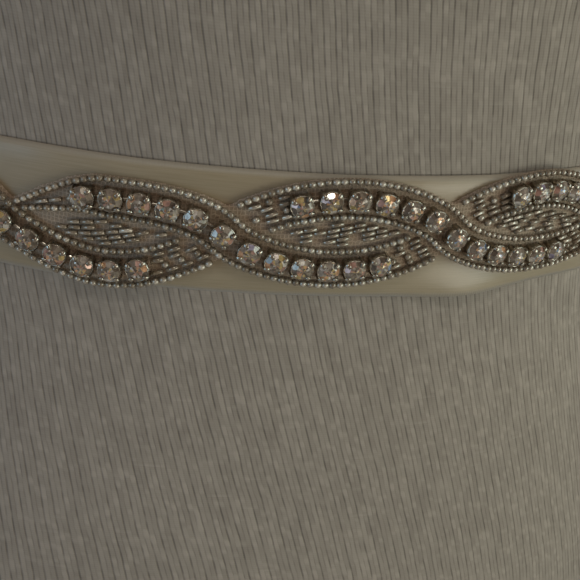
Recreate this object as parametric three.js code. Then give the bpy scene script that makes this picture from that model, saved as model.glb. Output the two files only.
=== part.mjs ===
// Bridal sash on a dress form, in millimetres, +Z up, the front facing -Y.
//
// An ivory satin ribbon goes round the waist of a plain limbless form and is tied at the back.
// A bead and crystal trim, a braid of two strands that cross nine times, is sewn on its front.
// The form stands on its own flat underside at z = 0.
import * as THREE from "three";

// Gaps and walls
const SEAM_GAP = 0.3;
const RIBBON_WALL = 1.0;

// Ribbon: 1 inch satin, tied round a small waist
const RIBBON_HEIGHT = 25.4;
const SASH_HALF_WIDTH = 118;
const SASH_FRONT_DEPTH = 90;
const SASH_BACK_DEPTH = 86;
const WAIST_HEIGHT = 230;
const BAND_SIDES = 96;

// Form: its sections, from the flat underside to the neck
const FORM_SIDES = 48;
const WAIST_FREE = RIBBON_WALL + SEAM_GAP;
const WAIST_ZONE = 14;
const waistSection = {
  halfWidth: SASH_HALF_WIDTH - WAIST_FREE,
  front: SASH_FRONT_DEPTH - WAIST_FREE,
  back: SASH_BACK_DEPTH - WAIST_FREE,
  square: 2,
};
const formTable = [
  { z: 0, halfWidth: 151, front: 84, back: 107, square: 2.3, steps: 1 },
  { z: 4, halfWidth: 157, front: 90, back: 113, square: 2.3, steps: 1 },
  { z: 14, halfWidth: 161, front: 94, back: 117, square: 2.3, steps: 2 },
  { z: 52, halfWidth: 164, front: 97, back: 120, square: 2.3, steps: 3 },
  { z: 120, halfWidth: 148, front: 97, back: 108, square: 2.2, steps: 3 },
  { z: 175, halfWidth: 126, front: 92, back: 93, square: 2.1, steps: 3 },
  { z: WAIST_HEIGHT - WAIST_ZONE, ...waistSection, steps: 1 },
  { z: WAIST_HEIGHT + WAIST_ZONE, ...waistSection, steps: 3 },
  { z: 300, halfWidth: 124, front: 92, back: 83, square: 2.1, steps: 3 },
  { z: 350, halfWidth: 132, front: 97, back: 86, square: 2.2, steps: 4 },
  { z: 410, halfWidth: 140, front: 98, back: 90, square: 2.3, steps: 4 },
  { z: 480, halfWidth: 146, front: 88, back: 91, square: 2.4, steps: 3 },
  { z: 545, halfWidth: 158, front: 70, back: 80, square: 2.6, steps: 2 },
  { z: 576, halfWidth: 164, front: 57, back: 68, square: 2.6, steps: 1 },
  { z: 588, halfWidth: 160, front: 53, back: 63, square: 2.5, steps: 1 },
  { z: 597, halfWidth: 148, front: 50, back: 59, square: 2.4, steps: 1 },
  { z: 607, halfWidth: 127, front: 48, back: 55, square: 2.3, steps: 1 },
  { z: 618, halfWidth: 102, front: 48, back: 51, square: 2.2, steps: 1 },
  { z: 632, halfWidth: 72, front: 49, back: 48, square: 2, steps: 1 },
  { z: 648, halfWidth: 58, front: 50, back: 45, square: 2, steps: 2 },
  { z: 684, halfWidth: 54, front: 51, back: 42, square: 2, steps: 1 },
  { z: 694, halfWidth: 51, front: 48, back: 39, square: 2, steps: 1 },
  { z: 699, halfWidth: 43, front: 41, back: 32, square: 2, steps: 1 },
  { z: 700, halfWidth: 33, front: 31, back: 23, square: 2, steps: 0 },
];
const bust = { rise: 19, fromMiddle: 60, height: 408, spreadX: 38, spreadZ: 44, sideFade: 0.5 };

// Knot and tails at the back: widths and depths of the knot at each height above the waist
const KNOT_SIDES = 8;
const KNOT_EDGE = 1.0;
const KNOT_FULLNESS = 0.6;
const knotTable = [
  { z: -14.5, halfWidth: 11.5, depth: 4.2 },
  { z: -12.5, halfWidth: 13.0, depth: 6.6 },
  { z: -7, halfWidth: 14.0, depth: 8.4 },
  { z: 0, halfWidth: 13.2, depth: 8.8 },
  { z: 7, halfWidth: 14.0, depth: 8.4 },
  { z: 12.5, halfWidth: 13.0, depth: 6.6 },
  { z: 14.5, halfWidth: 11.0, depth: 4.2 },
];
const TAIL_STEPS = 22;
const TAIL_ACROSS = 5;
const tails = [
  { name: "ribbon_tail_left", side: 1, endHeight: 26, slant: 9, spread: 15 },
  { name: "ribbon_tail_right", side: -1, endHeight: 12, slant: 9, spread: 11 },
];
const tailShape = {
  gathered: 5.4,
  opensOver: 52,
  gatherDepth: 0.9,
  offForm: 0.9,
  lift: 2.4,
  liftOver: 34,
};

// Trim: nine lenses between ten crossings, centred on the front
const LENSES = 9;
const LENS_LENGTH = 43.5;
const STATIONS_PER_LENS = 12;
const BRAID_HALF_HEIGHT = 11.3;
const NECK_HALF_HEIGHT = 4.75;
const OUTLINE_FULLNESS = 0.6;
const STRAND_FULLNESS = 0.7;
const UPPER_VALLEY_SHIFT = 0.04;
const LOWER_VALLEY_SHIFT = -0.07;
const TIP_LENGTH = 4;
const TIP_HALF_HEIGHT = 1.9;
const BACKING_WALL = 1.0;
const bead = { edge: 0.9, crest: 1.9, half: 0.75 };

// How far the trim was sewn below the middle of the ribbon, by hand, along its lenses
const sewnTable = [
  { lens: 0, low: 0.4 },
  { lens: 0.5, low: 0.5 },
  { lens: 1, low: -0.6 },
  { lens: 1.5, low: 0.3 },
  { lens: 2, low: 0.6 },
  { lens: 2.5, low: 0.4 },
  { lens: 3, low: 0.1 },
  { lens: 3.5, low: 1.9 },
  { lens: 4, low: -0.4 },
  { lens: 4.5, low: -1.5 },
  { lens: 5, low: -2.1 },
  { lens: 5.5, low: -2.5 },
  { lens: 6, low: -0.9 },
  { lens: 6.5, low: -0.6 },
  { lens: 7, low: 0.2 },
  { lens: 7.5, low: -0.4 },
  { lens: 8, low: -0.9 },
  { lens: 8.5, low: 0.3 },
  { lens: 9, low: 0.4 },
];

// Stones: 4 mm crystals in 4.2 mm settings, twelve on each strand. A strand begins in one lens
// and ends in the next, and its places are in lenses from the start of its own first lens.
const STONES_PER_STRAND = 12;
const STONE_ROW = 7.1;
const strandTable = [
  { firstStone: 0.33, pitch: 0.124 },
  { firstStone: 0.345, pitch: 0.122 },
  { firstStone: 0.32, pitch: 0.126 },
  { firstStone: 0.362, pitch: 0.117 },
  { firstStone: 0.412, pitch: 0.116 },
  { firstStone: 0.305, pitch: 0.121 },
  { firstStone: 0.335, pitch: 0.11 },
  { firstStone: 0.33, pitch: 0.125 },
  { firstStone: 0.35, pitch: 0.12 },
  { firstStone: 0.33, pitch: 0.126 },
];
const stoneTable = [
  { along: -2.2, halfWidth: 0.9, rise: 1.0 },
  { along: -1.25, halfWidth: 2.1, rise: 2.4 },
  { along: 1.25, halfWidth: 2.1, rise: 2.4 },
  { along: 2.2, halfWidth: 0.9, rise: 1.0 },
];
const STONE_TABLE_SHARE = 0.7;

const finishes = {
  linen: { color: 0xb3ad9f, roughness: 0.95, metalness: 0 },
  satin: { color: 0xe3dac3, roughness: 0.42, metalness: 0 },
  beads: { color: 0xb9b3a6, roughness: 0.35, metalness: 0.3 },
  crystal: { color: 0xe8e8ee, roughness: 0.1, metalness: 0.4 },
};

// A closed solid through sections with the same even number of points. Each section's last
// half runs back beside its first half, so that an end is closed like a ladder, rung by rung.
function sweepSolid(sections, closedRound = false) {
  const count = sections[0].length;
  const points = sections.flat();
  const faces = [];
  const spans = closedRound ? sections.length : sections.length - 1;
  for (let i = 0; i < spans; i += 1) {
    const here = i * count;
    const next = ((i + 1) % sections.length) * count;
    for (let j = 0; j < count; j += 1) {
      const k = (j + 1) % count;
      faces.push([here + j, here + k, next + k], [here + j, next + k, next + j]);
    }
  }
  if (!closedRound) {
    const last = (sections.length - 1) * count;
    for (let j = 0; j < count / 2 - 1; j += 1) {
      const a = j;
      const b = j + 1;
      const c = count - 2 - j;
      const d = count - 1 - j;
      faces.push([a, c, b], [a, d, c]);
      faces.push([last + a, last + b, last + c], [last + a, last + c, last + d]);
    }
  }
  const volume = faces.reduce((sum, [a, b, c]) => {
    return sum + points[a].dot(new THREE.Vector3().crossVectors(points[b], points[c]));
  }, 0);
  const geometry = new THREE.BufferGeometry().setFromPoints(points);
  geometry.setIndex(faces.flatMap(([a, b, c]) => (volume > 0 ? [a, b, c] : [a, c, b])));
  geometry.computeVertexNormals();
  return geometry;
}

function namedMesh(name, geometry, finish) {
  const mesh = new THREE.Mesh(geometry, new THREE.MeshStandardMaterial(finishes[finish]));
  mesh.name = name;
  return mesh;
}

// A column of a table at a place, on a smooth curve that never swings past its rows
function smoothValue(table, column, place, key = "z") {
  const last = table.length - 1;
  const k = Math.min(Math.max(table.findLastIndex((row) => row[key] <= place), 0), last - 1);
  const grade = (i) => (table[i + 1][column] - table[i][column]) / (table[i + 1][key] - table[i][key]);
  const slope = (i) => {
    if (i === 0 || i === last) {
      return grade(Math.min(i, last - 1));
    }
    const before = grade(i - 1);
    const after = grade(i);
    return before * after > 0 ? (2 * before * after) / (before + after) : 0;
  };
  const span = table[k + 1][key] - table[k][key];
  const t = THREE.MathUtils.clamp((place - table[k][key]) / span, 0, 1);
  const start = (1 + 2 * t) * (1 - t) ** 2 * table[k][column] + t * (1 - t) ** 2 * span * slope(k);
  const end = t * t * (3 - 2 * t) * table[k + 1][column] - t * t * (1 - t) * span * slope(k + 1);
  return start + end;
}

// Form
function formSection(z) {
  return {
    halfWidth: smoothValue(formTable, "halfWidth", z),
    front: smoothValue(formTable, "front", z),
    back: smoothValue(formTable, "back", z),
    square: smoothValue(formTable, "square", z),
  };
}

function bustRise(x, z) {
  const upSpread = (z - bust.height) / bust.spreadZ;
  const swell = (middle) => Math.exp(-(((x - middle) / bust.spreadX) ** 2 + upSpread ** 2) / 2);
  return bust.rise * (swell(bust.fromMiddle) + swell(-bust.fromMiddle));
}

function roundPower(value, power) {
  return Math.sign(value) * Math.abs(value) ** power;
}

// Angle 0 is the middle of the front, and a quarter turn on is the +X side
function formPoint(angle, z) {
  const { halfWidth, front, back, square } = formSection(z);
  const facing = Math.cos(angle);
  const depth = facing > 0 ? front : back;
  const x = halfWidth * roundPower(Math.sin(angle), 2 / square);
  const y = -depth * roundPower(facing, 2 / square);
  const bump = facing > 0 ? bustRise(x, z) * facing ** bust.sideFade : 0;
  return new THREE.Vector3(x, y - bump, z);
}

function buildForm() {
  const heights = formTable.flatMap((row, i) => {
    const next = formTable[i + 1];
    return Array.from({ length: row.steps }, (_, k) => row.z + ((next.z - row.z) * k) / row.steps);
  });
  heights.push(formTable.at(-1).z);
  const rings = heights.map((z) =>
    Array.from({ length: FORM_SIDES }, (_, j) => formPoint((2 * Math.PI * j) / FORM_SIDES, z)),
  );
  return namedMesh("form_torso", sweepSolid(rings), "linen");
}

// The ribbon's outer face, seen from above, at an angle round the waist, moved out by a distance
function waistPoint(angle, out, z) {
  const depth = Math.cos(angle) > 0 ? SASH_FRONT_DEPTH : SASH_BACK_DEPTH;
  const normal = new THREE.Vector2(Math.sin(angle) / SASH_HALF_WIDTH, -Math.cos(angle) / depth);
  normal.normalize();
  const x = SASH_HALF_WIDTH * Math.sin(angle) + out * normal.x;
  const y = -depth * Math.cos(angle) + out * normal.y;
  return new THREE.Vector3(x, y, z);
}

// Lengths along the ribbon from the middle of the front, at small steps of angle
const ARC_STEPS = 720;
const arcLengths = [0];
for (let i = 1; i <= ARC_STEPS; i += 1) {
  const from = waistPoint((Math.PI * (i - 1)) / ARC_STEPS, 0, 0);
  const to = waistPoint((Math.PI * i) / ARC_STEPS, 0, 0);
  arcLengths.push(arcLengths[i - 1] + from.distanceTo(to));
}
const HALF_GIRTH = arcLengths[ARC_STEPS];

// A point a given length along the ribbon, past the middle of the back too
function ribbonPoint(along, out, z) {
  const past = Math.abs(along) > HALF_GIRTH;
  const length = past ? 2 * HALF_GIRTH - Math.abs(along) : Math.abs(along);
  const i = Math.min(arcLengths.findLastIndex((value) => value <= length), ARC_STEPS - 1);
  const share = (length - arcLengths[i]) / (arcLengths[i + 1] - arcLengths[i]);
  const side = Math.sign(along) * (past ? -1 : 1);
  return waistPoint((side * Math.PI * (i + share)) / ARC_STEPS, out, z);
}

// Ribbon round the waist
function buildBand() {
  const half = RIBBON_HEIGHT / 2;
  const sections = Array.from({ length: BAND_SIDES }, (_, i) => {
    const angle = (2 * Math.PI * i) / BAND_SIDES;
    return [
      waistPoint(angle, 0, -half),
      waistPoint(angle, 0, half),
      waistPoint(angle, -RIBBON_WALL, half),
      waistPoint(angle, -RIBBON_WALL, -half),
    ];
  });
  return namedMesh("ribbon_band", sweepSolid(sections, true), "satin");
}

// Knot at the middle of the back: a rounded face over a plain inside
function buildKnot() {
  const sections = knotTable.map(({ z, halfWidth, depth }) => {
    const crown = Array.from({ length: KNOT_SIDES }, (_, j) => {
      const turn = (Math.PI * j) / (KNOT_SIDES - 1);
      const across = -halfWidth * Math.cos(turn);
      const crest = (depth - KNOT_EDGE) * Math.sin(turn) ** KNOT_FULLNESS;
      const out = SEAM_GAP + KNOT_EDGE + crest;
      return ribbonPoint(HALF_GIRTH + across, out, z);
    });
    const inside = Array.from({ length: KNOT_SIDES }, (_, j) => {
      const across = halfWidth - (2 * halfWidth * j) / (KNOT_SIDES - 1);
      return ribbonPoint(HALF_GIRTH + across, SEAM_GAP, z);
    });
    return [...crown, ...inside];
  });
  return namedMesh("ribbon_knot", sweepSolid(sections), "satin");
}

function formBack(x, z) {
  const { halfWidth, back, square } = formSection(z);
  return back * (1 - Math.abs(x / halfWidth) ** square) ** (1 / square);
}

// A tail starts gathered under the knot, opens to the ribbon's width and ends in a slanted cut
function buildTail({ name, side, endHeight, slant, spread }) {
  const top = knotTable[0].z + WAIST_HEIGHT - SEAM_GAP;
  const { gathered, opensOver, gatherDepth, offForm, lift, liftOver } = tailShape;
  const sections = Array.from({ length: TAIL_STEPS + 1 }, (_, i) => {
    const down = ((top - endHeight) * i) / TAIL_STEPS;
    const opened = THREE.MathUtils.smoothstep(down, 0, opensOver);
    const half = THREE.MathUtils.lerp(gathered, RIBBON_HEIGHT / 2, opened);
    const middle = half + SEAM_GAP + (spread * down) / (top - endHeight);
    const row = (out) =>
      Array.from({ length: TAIL_ACROSS }, (_, j) => {
        const across = (2 * j) / (TAIL_ACROSS - 1) - 1;
        const z = top - down + ((slant * down) / (top - endHeight)) * (across - 1) * 0.5;
        const x = middle + half * across;
        const gather = gatherDepth * (1 - opened) * Math.cos(2 * Math.PI * across);
        const held = lift * Math.exp(-down / liftOver) + offForm + gather + out;
        return new THREE.Vector3(side * x, formBack(x, z) + held, z - WAIST_HEIGHT);
      });
    return [...row(RIBBON_WALL), ...row(0).reverse()];
  });
  return namedMesh(name, sweepSolid(sections), "satin");
}

// Trim: places on it are a number of lenses from its left end, and a height from its middle
function trimPoint(lenses, height, out) {
  const along = (lenses - LENSES / 2) * LENS_LENGTH;
  return ribbonPoint(along, out, height - smoothValue(sewnTable, "low", lenses, "lens"));
}

function braidHalf(lenses, valleyShift) {
  const swell = Math.abs(Math.sin(Math.PI * (lenses - valleyShift))) ** OUTLINE_FULLNESS;
  const full = NECK_HALF_HEIGHT + (BRAID_HALF_HEIGHT - NECK_HALF_HEIGHT) * swell;
  const toTip = TIP_LENGTH / LENS_LENGTH + Math.min(lenses, LENSES - lenses);
  const share = THREE.MathUtils.clamp((toTip * LENS_LENGTH) / (2 * TIP_LENGTH), 0, 1);
  return THREE.MathUtils.lerp(TIP_HALF_HEIGHT, full, Math.sqrt(share * (2 - share)));
}

// The backing is a plain wall with the bead rows raised along both of its edges
function buildBacking() {
  const tip = TIP_LENGTH / LENS_LENGTH;
  const steps = LENSES * STATIONS_PER_LENS;
  const inner = Array.from({ length: steps + 1 }, (_, i) => i / STATIONS_PER_LENS);
  const stations = [-tip, -tip / 2, ...inner, LENSES + tip / 2, LENSES + tip];
  const sections = stations.map((lenses) => {
    const upper = braidHalf(lenses, UPPER_VALLEY_SHIFT);
    const lower = braidHalf(lenses, LOWER_VALLEY_SHIFT);
    const across = [
      { height: upper, rise: bead.edge },
      { height: upper - bead.half, rise: bead.crest },
      { height: upper - 2 * bead.half, rise: BACKING_WALL },
      { height: (upper - lower) / 2, rise: BACKING_WALL },
      { height: 2 * bead.half - lower, rise: BACKING_WALL },
      { height: bead.half - lower, rise: bead.crest },
      { height: -lower, rise: bead.edge },
    ];
    const outer = across.map(({ height, rise }) => trimPoint(lenses, height, SEAM_GAP + rise));
    const inside = across.map(({ height }) => trimPoint(lenses, height, SEAM_GAP)).reverse();
    return [...outer, ...inside];
  });
  return namedMesh("trim_backing", sweepSolid(sections), "beads");
}

// The middle of a strand, in lenses from the start of the lens where its stones begin
function strandHeight(lenses) {
  return STONE_ROW * roundPower(Math.sin(Math.PI * lenses), STRAND_FULLNESS);
}

// One strand's stones in their settings, joined by short links
function buildStoneChain(strand, from, to) {
  const { firstStone, pitch } = strandTable[strand];
  const startLens = strand - 1;
  const base = SEAM_GAP + BACKING_WALL + SEAM_GAP;
  const sections = [];
  for (let i = from; i <= to; i += 1) {
    const place = firstStone + pitch * i;
    const height = strandHeight(place);
    const rise = strandHeight(place + pitch / 2) - strandHeight(place - pitch / 2);
    const direction = new THREE.Vector2(pitch * LENS_LENGTH, rise).normalize();
    for (const row of stoneTable) {
      const corner = (across, out) => {
        const alongTrim = row.along * direction.x - across * direction.y;
        const upTrim = row.along * direction.y + across * direction.x;
        return trimPoint(startLens + place + alongTrim / LENS_LENGTH, height + upTrim, out);
      };
      const table = row.halfWidth * STONE_TABLE_SHARE;
      sections.push([
        corner(table, base + row.rise),
        corner(-table, base + row.rise),
        corner(-row.halfWidth, base),
        corner(row.halfWidth, base),
      ]);
    }
  }
  return namedMesh(`stone_chain_${strand}`, sweepSolid(sections), "crystal");
}

function buildTrim() {
  const trim = new THREE.Group();
  trim.add(buildBacking());
  const half = STONES_PER_STRAND / 2;
  for (let strand = 0; strand <= LENSES; strand += 1) {
    const from = strand === 0 ? half : 0;
    const to = strand === LENSES ? half - 1 : STONES_PER_STRAND - 1;
    trim.add(buildStoneChain(strand, from, to));
  }
  return trim;
}

const sash = new THREE.Group();
sash.position.z = WAIST_HEIGHT;
sash.add(buildBand(), buildKnot(), ...tails.map(buildTail), buildTrim());

const sashOnForm = new THREE.Group();
sashOnForm.add(buildForm(), sash);
const middle = new THREE.Box3().setFromObject(sashOnForm).getCenter(new THREE.Vector3());
sashOnForm.position.set(-middle.x, -middle.y, 0);

export default sashOnForm;
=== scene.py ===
# %% [markdown]
# # A bridal sash on a dress form
# The real object is a length of ivory satin ribbon, tied round the waist of a linen-covered
# dress form, with a hand-beaded trim sewn on its front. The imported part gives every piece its
# size and place. This lesson dresses it: cloth first, then the beadwork, then light and camera.
# Everything is in metres, with the front facing -Y and the floor at z = 0.

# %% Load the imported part
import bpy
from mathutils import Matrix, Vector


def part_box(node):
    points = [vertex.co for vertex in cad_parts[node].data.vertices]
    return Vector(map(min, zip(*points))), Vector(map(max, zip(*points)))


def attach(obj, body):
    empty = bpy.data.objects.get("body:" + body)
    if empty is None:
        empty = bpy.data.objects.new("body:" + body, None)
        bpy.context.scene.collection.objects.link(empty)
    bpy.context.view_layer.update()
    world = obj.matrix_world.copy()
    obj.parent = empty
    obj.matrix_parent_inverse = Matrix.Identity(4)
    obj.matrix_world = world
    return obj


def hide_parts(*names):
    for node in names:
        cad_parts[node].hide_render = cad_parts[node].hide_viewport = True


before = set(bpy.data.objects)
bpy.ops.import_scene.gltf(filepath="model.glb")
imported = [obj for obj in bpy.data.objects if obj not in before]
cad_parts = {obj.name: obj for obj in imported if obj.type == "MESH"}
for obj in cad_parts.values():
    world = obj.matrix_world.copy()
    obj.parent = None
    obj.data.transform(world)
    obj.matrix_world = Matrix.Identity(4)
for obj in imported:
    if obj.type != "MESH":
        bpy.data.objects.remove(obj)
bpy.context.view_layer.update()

# %% Blender's modules, and a millimetre
import math
import random

import bpy
import numpy as np
from mathutils import Vector, noise
from mathutils.bvhtree import BVHTree

MM = 0.001
ROOT = "root"
SCENE = bpy.context.scene
print("Blender:", bpy.app.version_string)

# %% [markdown]
# ## Where the waist is
# The ribbon's outer face is two half ellipses seen from above, a front one and a flatter back
# one. Its node's box gives their size. Places on the sash are measured as a maker measures
# them: a length along the ribbon from the middle of the front, a height above its middle line,
# and a distance out from its face. One function turns such places into points.

# %% Measure the waist from the ribbon's node
band_low, band_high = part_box("ribbon_band")
FRONT_DEPTH = 90 * MM
HALF_WIDTH = (band_high.x - band_low.x) / 2
MIDDLE_Y = band_low.y + FRONT_DEPTH
BACK_DEPTH = band_high.y - MIDDLE_Y
WAIST_Z = (band_low.z + band_high.z) / 2
RIBBON_HALF = (band_high.z - band_low.z) / 2

WAIST_TURNS = np.linspace(0, math.pi, 1441)


def waist_depth(turn):
    return np.where(np.cos(turn) > 0, FRONT_DEPTH, BACK_DEPTH)


def lengths_along(line):
    """The length of a line of points from its start to each of them."""
    return np.concatenate([[0], np.cumsum(np.linalg.norm(np.diff(line, axis=0), axis=1))])


waist_line = np.stack(
    [HALF_WIDTH * np.sin(WAIST_TURNS), -waist_depth(WAIST_TURNS) * np.cos(WAIST_TURNS)], axis=1
)
WAIST_LENGTHS = lengths_along(waist_line)
HALF_GIRTH = float(WAIST_LENGTHS[-1])
print("girth of the sash:", round(2 * HALF_GIRTH, 4))

# %% Turn places on the sash into points


def waist_turn(along):
    """The angle round the waist at a length along the ribbon, past the middle of the back too."""
    past = np.abs(along) > HALF_GIRTH
    near = np.where(past, 2 * HALF_GIRTH - np.abs(along), np.abs(along))
    side = np.where(past, -np.sign(along), np.sign(along))
    return side * np.interp(near, WAIST_LENGTHS, WAIST_TURNS)


def unit(vectors):
    """The same directions, each of length 1."""
    return vectors / np.linalg.norm(vectors, axis=-1, keepdims=True)


def on_ribbon(along, height, out):
    """Points at lengths along the ribbon, heights above its middle and distances off its face."""
    turn = waist_turn(np.asarray(along, float))
    normal = unit(np.stack([np.sin(turn) / HALF_WIDTH, -np.cos(turn) / waist_depth(turn)], axis=-1))
    x = HALF_WIDTH * np.sin(turn) + out * normal[..., 0]
    y = MIDDLE_Y - waist_depth(turn) * np.cos(turn) + out * normal[..., 1]
    return np.stack([x, y, WAIST_Z + height + 0 * x], axis=-1)


print("front point:", on_ribbon(0, 0, 0).round(4))

# %% [markdown]
# ## Small tools
# Operators act on what is selected, so a helper first deselects everything. Cloth is made from
# a grid of points with a UV map in metres, so that a weave keeps its real size. A wall and a
# smoothing step are modifiers, applied at once. A smooth wander and a smooth hump shape folds.

# %% Selecting and applying


def choose(piece):
    """Only this piece is selected and active."""
    bpy.ops.object.select_all(action="DESELECT")
    piece.select_set(True)
    bpy.context.view_layer.objects.active = piece


def apply_modifier(piece, kind, **settings):
    choose(piece)
    added = piece.modifiers.new(kind.lower(), kind)
    for key, value in settings.items():
        setattr(added, key, value)
    bpy.ops.object.modifier_apply(modifier=added.name)


def select_faces(piece, wanted):
    """Goes to edit mode with only the faces selected that `wanted` says yes to."""
    choose(piece)
    bpy.ops.object.mode_set(mode="EDIT")
    bpy.ops.mesh.select_mode(type="FACE")
    bpy.ops.mesh.select_all(action="DESELECT")
    bpy.ops.object.mode_set(mode="OBJECT")
    for face in piece.data.polygons:
        face.select = wanted(face)
    bpy.ops.object.mode_set(mode="EDIT")


def leave_edit_mode():
    bpy.ops.object.mode_set(mode="OBJECT")


def new_object(name, data):
    made = bpy.data.objects.new(name, data)
    SCENE.collection.objects.link(made)
    return made


# %% Cloth from a grid of points


def cloth_grid(name, points, uv, closed=False):
    """A piece from rows of points along and across. A closed one joins its last row to its first."""
    rows, across = points.shape[:2]
    corners = points.reshape(-1, 3)
    faces = []
    places = []
    for i in range(rows if closed else rows - 1):
        after = (i + 1) % rows
        for j in range(across - 1):
            here, there = i * across + j, after * across + j
            faces.append([here, there, there + 1, here + 1])
            places += [uv[i, j], uv[i + 1, j], uv[i + 1, j + 1], uv[i, j + 1]]
    mesh = bpy.data.meshes.new(name)
    mesh.from_pydata(corners.tolist(), [], faces)
    layer = mesh.uv_layers.new(name="cloth")
    layer.data.foreach_set("uv", np.array(places, float).ravel())
    mesh.polygons.foreach_set("use_smooth", [True] * len(faces))
    return new_object(name, mesh)


def wobble(place, seed):
    """A smooth wander between -1 and 1 along a line, different for each seed."""
    return noise.noise(Vector((place, 7.3 * seed, 1.9 * seed)))


def hump(value, at, spread):
    """A smooth hump, 1 high at its middle and almost flat two spreads away from it."""
    return math.exp(-(((value - at) / spread) ** 2))


# %% [markdown]
# ## Materials from nodes
# A small helper adds a node, sets it and links its sockets, and short ones on top of it add,
# multiply, blend and move values, which keeps each material short. Weaves are node groups that
# give out only numbers, such as a tone and a height. The Principled shader stays in the
# material, and its constant values are set on its own sockets.

# %% Helpers that add nodes


def put(tree, kind, sockets=None, **settings):
    """Adds a node. `sockets` maps an input's name or number to a value or to an output socket."""
    made = tree.nodes.new(kind)
    for key, value in settings.items():
        setattr(made, key, value)
    for key, value in (sockets or {}).items():
        if isinstance(value, bpy.types.NodeSocket):
            tree.links.new(value, made.inputs[key])
        else:
            made.inputs[key].default_value = value
    return made


def sums(tree, operation, first, *others):
    """A Math node's result. More than two values are taken one after the other."""
    result = first
    for other in others or (0.0,):
        result = put(tree, "ShaderNodeMath", {0: result, 1: other}, operation=operation).outputs[0]
    return result


def added(tree, *values):
    return sums(tree, "ADD", *values)


def times(tree, *values):
    return sums(tree, "MULTIPLY", *values)


def shaded(tree, colour, share):
    """A colour made darker or lighter by a share."""
    sockets = {0: colour, 1: share}
    return put(tree, "ShaderNodeVectorMath", sockets, operation="MULTIPLY").outputs[0]


def blended(tree, share, low, high):
    """A colour between two colours."""
    made = put(tree, "ShaderNodeMix", {0: share, 6: low, 7: high}, data_type="RGBA")
    return made.outputs[2]


def remapped(tree, value, from_low, from_high, to_low=0.0, to_high=1.0):
    """A value moved from one range into another, and kept inside it."""
    sockets = {0: value, 1: from_low, 2: from_high, 3: to_low, 4: to_high}
    return put(tree, "ShaderNodeMapRange", sockets).outputs[0]


def clouds(tree, scale, vector=None, detail=2.0):
    """Noise between 0 and 1. Without a vector it lies in the piece's own space."""
    if vector is None:
        vector = put(tree, "ShaderNodeTexCoord").outputs["Object"]
    sockets = {"Vector": vector, "Scale": scale, "Detail": detail}
    return put(tree, "ShaderNodeTexNoise", sockets).outputs[0]


def link_into(tree, node, **values):
    """Links results to the inputs of a shader, or of a group's last node."""
    for label, value in values.items():
        tree.links.new(value, node.inputs[label.replace("_", " ")])


def raise_threads(tree, shader, height, strength, distance, **settings):
    """A Bump node from a height to the shader's normal."""
    sockets = {"Height": height, "Strength": strength, "Distance": distance}
    bump = put(tree, "ShaderNodeBump", sockets, **settings)
    link_into(tree, shader, Normal=bump.outputs[0])


def new_weave(name, *results):
    """An empty group, the place on the cloth that it takes, and the node for its results."""
    group = bpy.data.node_groups.new(name, "ShaderNodeTree")
    group.interface.new_socket("Place", in_out="INPUT", socket_type="NodeSocketVector")
    for label in results:
        group.interface.new_socket(label, in_out="OUTPUT", socket_type="NodeSocketFloat")
    return group, group.nodes.new("NodeGroupInput").outputs["Place"], group.nodes.new("NodeGroupOutput")


def new_material(name, **constants):
    """A material with a Principled shader whose constant values are set on its own sockets."""
    made = bpy.data.materials.new(name)
    made.use_nodes = True
    shader = made.node_tree.nodes["Principled BSDF"]
    for label, value in constants.items():
        shader.inputs[label.replace("_", " ")].default_value = value
    return made, made.node_tree, shader

# %% [markdown]
# ## Linen
# The form is covered with natural linen. Its warp threads run up and down in pairs about two
# millimetres wide, with a narrow dark gap beside each pair and a fainter one within it, and a
# finer weft crosses them. A texture of plain noise would look like felt, so the threads are
# counted: each has its own number, its own tone and its own slubs.

# %% The weave of the linen
PAIR_WIDTH = 1.94 * MM
WEFT_PITCH = 0.52 * MM
STROKE_LENGTH = 3.2 * MM
SLUB_LENGTH = 9 * MM
THREAD_DRIFT = 0.7 * MM
DRIFT_SCALE = 70.0
WIDE_GAP_SIDE = (0.26, 0.06)
FINE_GAP_SIDE = (0.76, 0.95)
LINEN_GROUND = 0.58
linen_parts = {
    "body": {"tone": 0.3, "height": 0.3},
    "stroke": {"tone": 0.28, "height": 0.4},
    "weft slub": {"tone": 0.16, "height": 0.3},
    "weft wave": {"tone": 0.03, "height": 0.06},
    "wide gap": {"tone": -0.56, "height": -1.0},
    "fine gap": {"tone": -0.3, "height": -0.6},
}


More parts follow.
